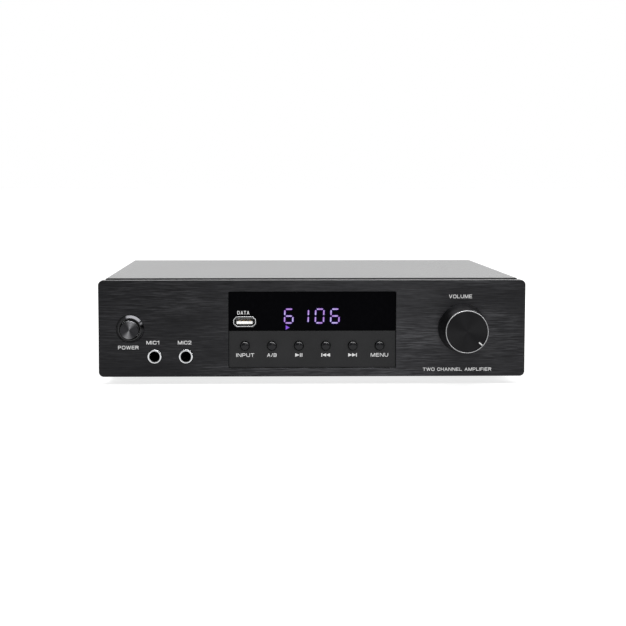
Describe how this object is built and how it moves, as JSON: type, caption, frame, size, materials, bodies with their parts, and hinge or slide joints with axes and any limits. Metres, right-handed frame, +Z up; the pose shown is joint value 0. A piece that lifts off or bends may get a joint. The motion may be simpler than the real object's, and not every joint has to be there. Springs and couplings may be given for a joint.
{
  "type": "stereo receiver",
  "caption": "Low, wide hi-fi receiver with a thick brushed front panel, a glossy display window over a row of keys, a push power button and a large tapered volume knob.",
  "frame": {"origin": "middle of the receiver's bounding box, on the surface that its feet stand on", "axes": "+X to the right as seen from the front, +Y from the front panel to the rear sockets, +Z up"},
  "size_m": [0.28, 0.217, 0.0694],
  "materials": {
    "panel_aluminium": "black anodised, brushed along its length",
    "painted_steel": "fine-textured black semi-gloss paint",
    "tray_steel": "zinc-plated sheet",
    "key_strip": "satin dark grey moulding",
    "display_lens": "polished smoked acrylic",
    "display_module": "dark face with violet lit digits",
    "circuit_board": "green solder mask",
    "gloss_black": "polished black",
    "matte_black": "moulded black",
    "chrome": "polished nickel",
    "plated_steel": "nickel-plated sheet",
    "port_insulator": "white moulded insulator",
    "button_metal": "dark spun metal with turning marks",
    "knob_metal": "black, glossy side and satin face",
    "trim_silver": "bright cut ring",
    "foot_rubber": "soft black",
    "screw_black": "blackened pan head",
    "winding": "varnished copper under clear tape",
    "bare_aluminium": "extruded",
    "capacitor_sleeve": "dark blue shrink sleeve",
    "ribbon": "grey ribbed flat cable",
    "lead_sheath": "black round lead",
    "lever_red": "red moulded",
    "phono_plastic": "black moulding with plated sockets"
  },
  "bodies": {
    "case": {"front_panel": "panel_aluminium", "control_bezel": "key_strip", "display_lens": "display_lens", "led_display": "display_module", "front_board": "circuit_board", "media_port_shell": "plated_steel", "media_port_tongue": "port_insulator", "power_bezel": "gloss_black", "power_switch": "matte_black", "mic_bushing_1": "chrome", "mic_bushing_2": "chrome", "mic_jack_1": "matte_black", "mic_jack_2": "matte_black", "encoder_body": "plated_steel", "encoder_nut": "plated_steel", "chassis_tray": "tray_steel", "rear_panel": "painted_steel", "top_cover": "painted_steel", "main_board": "circuit_board", "power_transformer": "winding", "transformer_bolt": "plated_steel", "heat_sink": "bare_aluminium", "amplifier_chip": "matte_black", "filter_capacitor_1": "capacitor_sleeve", "filter_capacitor_2": "capacitor_sleeve", "tuner_module": "plated_steel", "ribbon_cable": "ribbon", "mains_lead": "lead_sheath", "mains_inlet": "matte_black", "inlet_pin_1": "chrome", "inlet_pin_2": "chrome", "phono_sockets": "phono_plastic", "aerial_socket": "chrome", "speaker_terminals": "matte_black", "foot_front_left": "foot_rubber", "foot_front_right": "foot_rubber", "foot_rear_left": "foot_rubber", "foot_rear_right": "foot_rubber", "cover_screw_front_left": "screw_black", "cover_screw_rear_left": "screw_black", "cover_screw_front_right": "screw_black", "cover_screw_rear_right": "screw_black"},
    "input_key": {"input_key": "gloss_black"},
    "speaker_ab_key": {"speaker_ab_key": "gloss_black"},
    "play_pause_key": {"play_pause_key": "gloss_black"},
    "previous_key": {"previous_key": "gloss_black"},
    "next_key": {"next_key": "gloss_black"},
    "menu_key": {"menu_key": "gloss_black"},
    "power_button": {"power_button": "button_metal"},
    "volume_control": {"volume_knob": "knob_metal", "knob_trim_ring": "trim_silver", "encoder_shaft": "plated_steel"},
    "speaker_lever_1": {"speaker_lever_1": "lever_red"},
    "speaker_lever_2": {"speaker_lever_2": "matte_black"},
    "speaker_lever_3": {"speaker_lever_3": "lever_red"},
    "speaker_lever_4": {"speaker_lever_4": "matte_black"},
    "speaker_lever_5": {"speaker_lever_5": "lever_red"},
    "speaker_lever_6": {"speaker_lever_6": "matte_black"},
    "speaker_lever_7": {"speaker_lever_7": "lever_red"},
    "speaker_lever_8": {"speaker_lever_8": "matte_black"}
  },
  "joints": [
    {"name": "volume_turn", "type": "hinge", "parent": "case", "child": "volume_control", "pos_m": [0.0985, -0.0885, 0.0367], "axis": [0, 1, 0], "continuous": true},
    {"name": "power_press", "type": "slide", "parent": "case", "child": "power_button", "axis": [0, 1, 0], "range_m": [0, 0.003], "stiffness_N_per_m": 1000},
    {"name": "input_press", "type": "slide", "parent": "case", "child": "input_key", "axis": [0, 1, 0], "range_m": [0, 0.0005], "stiffness_N_per_m": 2000},
    {"name": "speaker_ab_press", "type": "slide", "parent": "case", "child": "speaker_ab_key", "axis": [0, 1, 0], "range_m": [0, 0.0005], "stiffness_N_per_m": 2000},
    {"name": "play_pause_press", "type": "slide", "parent": "case", "child": "play_pause_key", "axis": [0, 1, 0], "range_m": [0, 0.0005], "stiffness_N_per_m": 2000},
    {"name": "previous_press", "type": "slide", "parent": "case", "child": "previous_key", "axis": [0, 1, 0], "range_m": [0, 0.0005], "stiffness_N_per_m": 2000},
    {"name": "next_press", "type": "slide", "parent": "case", "child": "next_key", "axis": [0, 1, 0], "range_m": [0, 0.0005], "stiffness_N_per_m": 2000},
    {"name": "menu_press", "type": "slide", "parent": "case", "child": "menu_key", "axis": [0, 1, 0], "range_m": [0, 0.0005], "stiffness_N_per_m": 2000},
    {"name": "speaker_lever_1_press", "type": "hinge", "parent": "case", "child": "speaker_lever_1", "pos_m": [0.041, 0.0955, 0.033], "axis": [1, 0, 0], "range_deg": [-20, 0], "stiffness_Nm_per_rad": 0.12},
    {"name": "speaker_lever_2_press", "type": "hinge", "parent": "case", "child": "speaker_lever_2", "pos_m": [0.055, 0.0955, 0.033], "axis": [1, 0, 0], "range_deg": [-20, 0], "stiffness_Nm_per_rad": 0.12},
    {"name": "speaker_lever_3_press", "type": "hinge", "parent": "case", "child": "speaker_lever_3", "pos_m": [0.069, 0.0955, 0.033], "axis": [1, 0, 0], "range_deg": [-20, 0], "stiffness_Nm_per_rad": 0.12},
    {"name": "speaker_lever_4_press", "type": "hinge", "parent": "case", "child": "speaker_lever_4", "pos_m": [0.083, 0.0955, 0.033], "axis": [1, 0, 0], "range_deg": [-20, 0], "stiffness_Nm_per_rad": 0.12},
    {"name": "speaker_lever_5_press", "type": "hinge", "parent": "case", "child": "speaker_lever_5", "pos_m": [0.041, 0.0955, 0.05], "axis": [1, 0, 0], "range_deg": [-20, 0], "stiffness_Nm_per_rad": 0.12},
    {"name": "speaker_lever_6_press", "type": "hinge", "parent": "case", "child": "speaker_lever_6", "pos_m": [0.055, 0.0955, 0.05], "axis": [1, 0, 0], "range_deg": [-20, 0], "stiffness_Nm_per_rad": 0.12},
    {"name": "speaker_lever_7_press", "type": "hinge", "parent": "case", "child": "speaker_lever_7", "pos_m": [0.069, 0.0955, 0.05], "axis": [1, 0, 0], "range_deg": [-20, 0], "stiffness_Nm_per_rad": 0.12},
    {"name": "speaker_lever_8_press", "type": "hinge", "parent": "case", "child": "speaker_lever_8", "pos_m": [0.083, 0.0955, 0.05], "axis": [1, 0, 0], "range_deg": [-20, 0], "stiffness_Nm_per_rad": 0.12}
  ]
}
